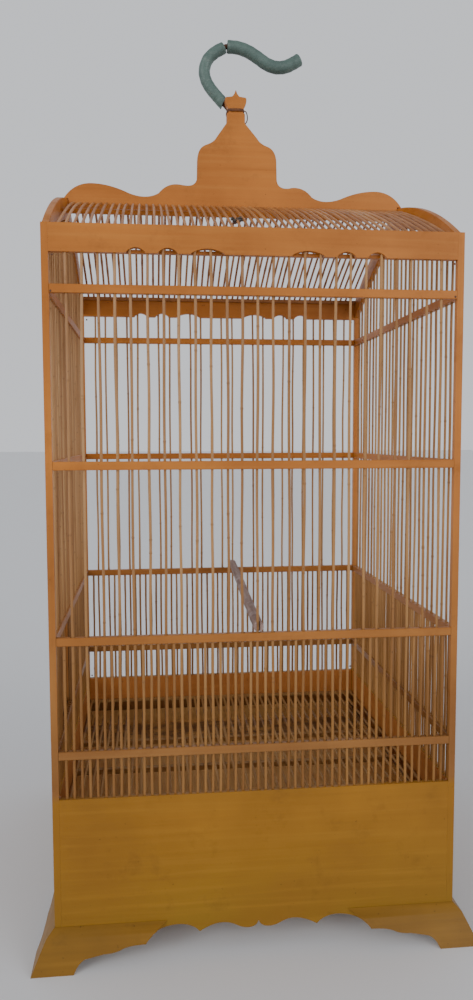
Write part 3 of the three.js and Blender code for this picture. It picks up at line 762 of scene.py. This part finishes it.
def plinth(side):
    left = [(-INNER, PLINTH_TOP), (-INNER, PLINTH_LOW), (-109, PLINTH_LOW)]
    for c, p in (((-97, 30.5), (-80, 30.8)), ((-66, 30.5), (-59, 22)), ((-38, 35), (-22, 26))):
        left += quad(left[-1], c, p, 12)
    left += cubic(left[-1], (-14, 21.5), (-2.5, 21), (0, 29.5))
    outline = left + [(-x, z) for x, z in reversed(left[:-1])]
    piece = Piece(f"{side}_plinth")
    piece.prism(outline, -HALF, -HALF + 6)
    if side == "left":
        board = loose(piece)
        slot = Piece("tray_slot")
        slot.block((-186, -HALF - 5, 95.6), (186, -HALF + 12, 122))
        cut_with(board, loose(slot), "DIFFERENCE")
        piece = adopt("left_plinth", board)
    grain = "x" if side in ("front", "rear") else "y"
    made = piece.make(PLINTH[grain], slot="plinth_paint", stands_for=[f"{side}_plinth_board"],
                      turn=WALLS[side], bevel=0.2)
    made.data.materials.append(PLINTH_INSIDE[grain])
    inward = Matrix.Rotation(WALLS[side], 3, "Z") @ Vector((0, 1, 0))
    for face in made.data.polygons:
        if face.normal.dot(inward) > 0.9:
            face.material_index = 1


for side in WALLS:
    plinth(side)


def foot_board(mirrored):
    """One bracket board of the front right corner, flared, scalloped and mitred."""
    section = [(-200.3, 36), (-207.5, 29), (-214, 15.5), (-221, 0), (-214.5, 0), (-200.3, 25)]
    body = Piece("foot_board")
    body.loft([[Vector((x, y, z)) for y, z in section] for x in (89, 242)])
    board = loose(body)
    edge = [(89, 37)]
    edge += quad(edge[-1], (107, 27), (112, 20))
    edge += quad(edge[-1], (130, 20), (137, 16.5))
    edge += quad(edge[-1], (143, 14.5), (152, 14.5))
    edge.append((170, 11.5))
    edge += quad(edge[-1], (177, 9), (181, -1))
    profile = Piece("foot_profile")
    profile.prism(edge + [(242, -1), (242, 37)], -242, -195)
    cut_with(board, loose(profile), "INTERSECT")
    mitre = Piece("foot_mitre")
    ring = [(0, 0), (242, -242), (0, -242)]
    mitre.loft([[Vector((x, y, z)) for x, y in ring] for z in (-1, 40)])
    cut_with(board, loose(mitre), "INTERSECT")
    if mirrored:
        board.data.transform(Matrix(((0, -1, 0, 0), (-1, 0, 0, 0), (0, 0, 1, 0), (0, 0, 0, 1))))
        board.data.flip_normals()
    return board


FOOT_TURNS = {"front_right": 0, "rear_right": 1, "rear_left": 2, "front_left": 3}
for corner, quarter in FOOT_TURNS.items():
    for mirrored in (False, True):
        along_x = mirrored == bool(quarter % 2)
        facing = "b" if mirrored else "a"
        piece = adopt(f"foot_{corner}_{facing}", foot_board(mirrored))
        piece.make(FEET["x" if along_x else "y"], slot="plinth_paint", turn=quarter * math.pi / 2,
                   stands_for=[] if mirrored else [f"foot_{corner}"], bevel=0.4)


# ---- floor, tray --------------------------------------------------------------------------------
GRILLE = dict(half=192.5, slats=37, slat=3.2, slat_r=1.65, low=128.4, mid=130.2, high=132, ends=190)
CROSS_LATHS = dict(places=(-47, 38), half=192, half_wide=3.5, low=123, high=128.5)


def floor_grille():
    rng = random.Random(11)
    piece = Piece("floor_slats")
    half, ends = GRILLE["half"], GRILLE["ends"]
    pitch = (2 * half - GRILLE["slat"]) / (GRILLE["slats"] - 1)
    for n in range(GRILLE["slats"]):
        x = -half + GRILLE["slat"] / 2 + n * pitch
        bow = rng.uniform(-0.5, 0.5)
        shares = [t / 12 for t in range(13)]
        path = [(x + bow * math.sin(math.pi * t), -ends + 2 * ends * t, GRILLE["mid"]) for t in shares]
        piece.tube(path, GRILLE["slat_r"], 8, rng.random())
    reach, wide = CROSS_LATHS["half"], CROSS_LATHS["half_wide"]
    for y in CROSS_LATHS["places"]:
        piece.block((-reach, y - wide, CROSS_LATHS["low"]), (reach, y + wide, CROSS_LATHS["high"]))
    for y in (-ends, ends):
        piece.block((-half, y - 2.5, GRILLE["low"]), (half, y + 2.5, GRILLE["high"]))
    piece.make(SLATS, slot="bar_paint", stands_for=["floor_grille"])


floor_grille()


TRAY_WALL = 2.5
TRAY_BASE = 2


def tray():
    """A base board with four boards standing on it."""
    x0, x1, y1, low, high = -193.7, 186, 184, 96.2, 118
    stand = low + TRAY_BASE + 0.05
    y0 = y1 - TRAY_WALL
    piece = Piece("tray_boards")
    piece.block((x0 + 0.2, -y1 + 0.2, low), (x1 - 0.2, y1 - 0.2, low + TRAY_BASE))
    for y in (-1, 1):
        piece.block((x0, min(y * y1, y * y0), stand), (x1, max(y * y1, y * y0), high))
    for a in (x0, x1 - TRAY_WALL):
        piece.block((a, -y0 + 0.1, stand), (a + TRAY_WALL, y0 - 0.1, high))
    piece.make(TRAY_BOARD, body="tray", slot="tray_board", stands_for=["tray_box"], bevel=0.3)


tray()


def knob(name, node, body, origin, radius, length):
    """A turned knob that points to -X; its profile is in shares of the length and the radius."""
    shape = ((0, 0.8), (0.08, 0.82), (0.18, 0.6), (0.32, 0.52), (0.45, 0.6), (0.56, 0.86), (0.66, 1.0),
             (0.76, 0.98), (0.86, 0.85), (0.94, 0.6), (0.985, 0.32), (1.0, 0.0))
    piece = Piece(name)
    piece.lathe(origin, (-1, 0, 0), [(length * a, radius * r) for a, r in shape])
    piece.make(FRAME["x"], body=body, slot="frame_paint", stands_for=[node])


knob("tray_knob_turned", "tray_knob", "tray", (-200.3, 0, 108.8), 7, 13)


# ---- door -----------------------------------------------------------------------------------------
STILE, DOOR_RAIL = 4.5, 8       # widths of the door frame's upright and level pieces
DOOR_BARS = 11


def door():
    (x0, y0, z0), (x1, y1, z1) = ([v / MM for v in corner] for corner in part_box("door_panel"))
    rng = random.Random(5)
    piece = Piece("door_frame")
    for a, b in ((y0, y0 + STILE), (y1 - STILE, y1)):
        piece.block((x0, a, z0), (x1, b, z1))
    for a, b in ((z0, z0 + DOOR_RAIL), (z1 - DOOR_RAIL, z1)):
        piece.block((x0, y0 + STILE + 0.05, a), (x1, y1 - STILE - 0.05, b))
    piece.make(FRAME["z"], body="door", slot="frame_paint", stands_for=["door_panel"], bevel=0.4)
    bars = Piece("door_bamboo")
    low, tall = z0 + DOOR_RAIL / 2, z1 - z0 - DOOR_RAIL
    for n in range(DOOR_BARS):
        y = y0 + STILE + (y1 - y0 - 2 * STILE) * (n + 1) / (DOOR_BARS + 1)
        path = [((x0 + x1) / 2, y + rng.uniform(-0.2, 0.2), low + tall * t / 8) for t in range(9)]
        bars.tube(path, 1.4, 8, rng.random())
    bars.make(BARS["z"], body="door", slot="bar_paint")
    pull_lo, pull_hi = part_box("door_pull")
    centre = [(a + b) / 2 / MM for a, b in zip(pull_lo, pull_hi)]
    knob("door_pull_turned", "door_pull", "door", (pull_hi[0] / MM, centre[1], centre[2]), 4.3, 9)


door()


# ---- perch ----------------------------------------------------------------------------------------
PERCH_R = 5.2                   # a little is left for knots and waves
PERCH_END = 199
NOTCH_FOOT, NOTCH_HALF = 194.9, 1.8


def perch():
    """A stick lying askew, its notched ends astride one bar in front and one behind."""
    rng = random.Random(8)
    lo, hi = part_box("perch")
    z = (lo[2] + hi[2]) / 2 / MM
    knots = [rng.uniform(-160, 160) for _ in range(5)]
    path, radii = [], []
    for n in range(81):
        y = -PERCH_END + 2 * PERCH_END * n / 80
        x = PITCH * (1 - y / BAR_LINE)
        swell = sum(0.18 * math.exp(-((y - k) / 3.5) ** 2) for k in knots)
        wave = 0.1 * math.sin(y * 0.07) + 0.08 * math.sin(y * 0.19 + 1)
        path.append((x + 0.2 * math.sin(y * 0.021), y, z + 0.1 * math.sin(y * 0.03)))
        radii.append(PERCH_R + wave + swell)
    stick = Piece("stick")
    stick.tube(path, radii, 14)
    stick = loose(stick)
    for x, y0, y1 in ((0, -PERCH_END - 6, -NOTCH_FOOT), (2 * PITCH, NOTCH_FOOT, PERCH_END + 6)):
        notch = Piece("notch")
        notch.block((x - NOTCH_HALF, y0, z - 8), (x + NOTCH_HALF, y1, z + 8))
        cut_with(stick, loose(notch), "DIFFERENCE")
    adopt("perch_stick", stick).make(STICK, slot="stick", stands_for=["perch"], sharp=50)


perch()


# ---- hook -------------------------------------------------------------------------------------------
ROD_Y = 12
ROD_ROUTE = [
    (0, -5, 764.4), (0, 3, 764.4), (0, 9.5, 766.4), (0, ROD_Y, 774), (0, ROD_Y, 794), (0, ROD_Y, 834),
    (-0.5, ROD_Y, 864), (-1.5, ROD_Y, 882), (-5, ROD_Y, 892), (-10, ROD_Y, 898.7),
]
CROOK = [(x, ROD_Y, z) for x, z in (
    (-15.5, 904.2), (-21.5, 910.5), (-28, 918), (-33.3, 927), (-35.3, 938), (-31.5, 950), (-23, 958.6),
    (-12.5, 964.6), (-8.3, 966), (4, 965.3), (16, 961.7), (27, 955.6), (38, 948.6), (49, 945.2),
    (60, 946.2), (69.5, 950.6), (77, 955.2))]
HOSE_SPLIT = 8                  # the lower hose ends at this point of the crook
HOSE_BORE, LOWER_HOSE_R, UPPER_HOSE_R = 3.9, 6.7, 7.2
ROUND = 28                      # corners of a hose's outline
WIRE_LOOP = [
    (9.9, -5.2, 887.5), (12.2, -5.0, 885.5), (13.3, -4.6, 881), (12.9, -4.2, 876.5), (11, -3.6, 873.6),
]


def hook():
    rod = Piece("hook_iron")
    rod.tube(smooth_path(ROD_ROUTE + CROOK, 5), 2.9, 14)
    rod.make(IRON, slot="iron", stands_for=["hook_rod"], sharp=50)
    for name, node, route, outer in (("hose_lower", "hook_hose_lower", CROOK[:HOSE_SPLIT], LOWER_HOSE_R),
                                     ("hose_upper", "hook_hose_upper", CROOK[HOSE_SPLIT:], UPPER_HOSE_R)):
        path = smooth_path(route, 10)
        count = len(path)
        skin = []
        for n in range(count):
            rounding = 0.05 if n in (0, count - 1) else 0
            skin.append(outer * (1 + 0.014 * math.sin(n * 0.9) - rounding))
        piece = Piece(name)
        shell = piece.tube(path, skin, ROUND, caps=False)
        bore = piece.tube(path, [HOSE_BORE] * count, ROUND, caps=False)
        if name == "hose_lower":
            # cut at a slant, so that its lower end runs to a tip on the left
            for ring in (shell[0], bore[0]):
                for vert in ring:
                    vert.co += Vector((0.66, 0, -0.75)) * (3.4 - 0.55 * (vert.co.x + 15.5))
        for i in (0, -1):
            for n in range(ROUND):
                m = (n + 1) % ROUND
                piece.face((shell[i][n], shell[i][m], bore[i][m], bore[i][n]))
        piece.make(HOSE, slot="hose", stands_for=[node], sharp=50)
    # four turns around the rod and the finial's neck, nearly square, and a loose end
    wire = Piece("lashing_wire")
    turns, per = 4, 40
    path = []
    for n in range(turns * per + 1):
        angle = 2 * math.pi * n / per
        c, s = math.cos(angle), math.sin(angle)
        reach = (abs(c) ** 4 + abs(s) ** 4) ** -0.25
        path.append((9.8 * c * reach, 5.3 + 10.9 * s * reach, 886.9 + 0.62 * n / per))
    wire.tube(path, 0.7, 8)
    wire.tube(smooth_path(WIRE_LOOP, 6), 0.6, 8)
    wire.make(IRON, slot="iron", stands_for=["hook_lashing"], sharp=50)


hook()


# ---- nails --------------------------------------------------------------------------------------------
NAIL_HEAD = ((0, 1.1), (0.1, 1.1), (0.22, 0.7), (0.24, 0))


def nails():
    piece = Piece("nail_heads")
    places = [(-190, 677), (-192, 644.5), (-192.6, 166.5), (190.9, 165.5), (190, 676), (191.6, 645)]
    for turn in WALLS.values():
        spin = Matrix.Rotation(turn, 3, "Z")
        for x, z in places:
            origin = spin @ Vector((x, -199.95, z))
            piece.lathe(origin, spin @ Vector((0, -1, 0)), NAIL_HEAD, 10)
    piece.make(IRON, slot="iron")


nails()


# ---- dirt caught between two roof bars ---------------------------------------------------------------
def roof_dirt():
    rng = random.Random(3)
    piece = Piece("roof_dirt")
    for _ in range(16):
        x, y = -14 + rng.uniform(-5, 5), -146 + rng.uniform(-7, 7)
        start = Vector((x, y, bar_height(y) + rng.uniform(-0.5, 1.5)))
        lean = Vector((rng.uniform(-3, 3), rng.uniform(-4, 4), rng.uniform(-0.5, 1.5)))
        radii = [0.3, rng.uniform(1.0, 2.0), 0.3]
        piece.tube([start - lean, start, start + lean * 0.8], radii, 7, squash=0.6)
    piece.make(DIRT)


roof_dirt()


# ---- floor, light ---------------------------------------------------------------------------------------
GROUND = 30                     # metres from the middle to the ground's edges
SUNS = (("key", (0.75, 0.62, -0.34), 28, 1.15), ("fill", (-0.6, 0.75, -0.2), 35, 0.95))


def stage():
    mesh = bpy.data.meshes.new("ground")
    corners = [(-GROUND, -GROUND, 0), (GROUND, -GROUND, 0), (GROUND, GROUND, 0), (-GROUND, GROUND, 0)]
    mesh.from_pydata(corners, [], [(0, 1, 2, 3)])
    ground = bpy.data.objects.new("ground", mesh)
    material = bpy.data.materials.new("ground")
    material.use_nodes = True
    shader = material.node_tree.nodes["Principled BSDF"]
    shader.inputs["Base Color"].default_value = (0.84, 0.85, 0.87, 1)
    shader.inputs["Roughness"].default_value = 0.9
    shader.inputs["Specular IOR Level"].default_value = 0.1
    mesh.materials.append(material)
    bpy.context.scene.collection.objects.link(ground)
    bpy.context.scene.world = studio_walls()
    for name, ahead, angle, power in SUNS:
        data = bpy.data.lights.new(name, "SUN")
        data.angle = math.radians(angle)
        data.energy = power
        lamp = bpy.data.objects.new(name, data)
        lamp.rotation_euler = Vector(ahead).to_track_quat("-Z", "Y").to_euler()
        bpy.context.scene.collection.objects.link(lamp)


def studio_walls():
    """Even pale light all round, dimmer overhead."""
    world = bpy.data.worlds.new("studio")
    world.use_nodes = True
    tree = world.node_tree
    shade = tree.nodes["Background"]
    place = tree.nodes.new("ShaderNodeTexCoord")
    split = tree.nodes.new("ShaderNodeSeparateXYZ")
    fall = tree.nodes.new("ShaderNodeMapRange")
    fall.inputs["From Min"].default_value = 0.5
    fall.inputs["From Max"].default_value = 0.95
    fall.inputs["To Min"].default_value = 0.95
    fall.inputs["To Max"].default_value = 0.3
    tree.links.new(place.outputs["Generated"], split.inputs[0])
    tree.links.new(split.outputs["Z"], fall.inputs["Value"])
    tree.links.new(fall.outputs["Result"], shade.inputs["Strength"])
    shade.inputs["Color"].default_value = (0.8, 0.82, 0.86, 1)
    return world


stage()
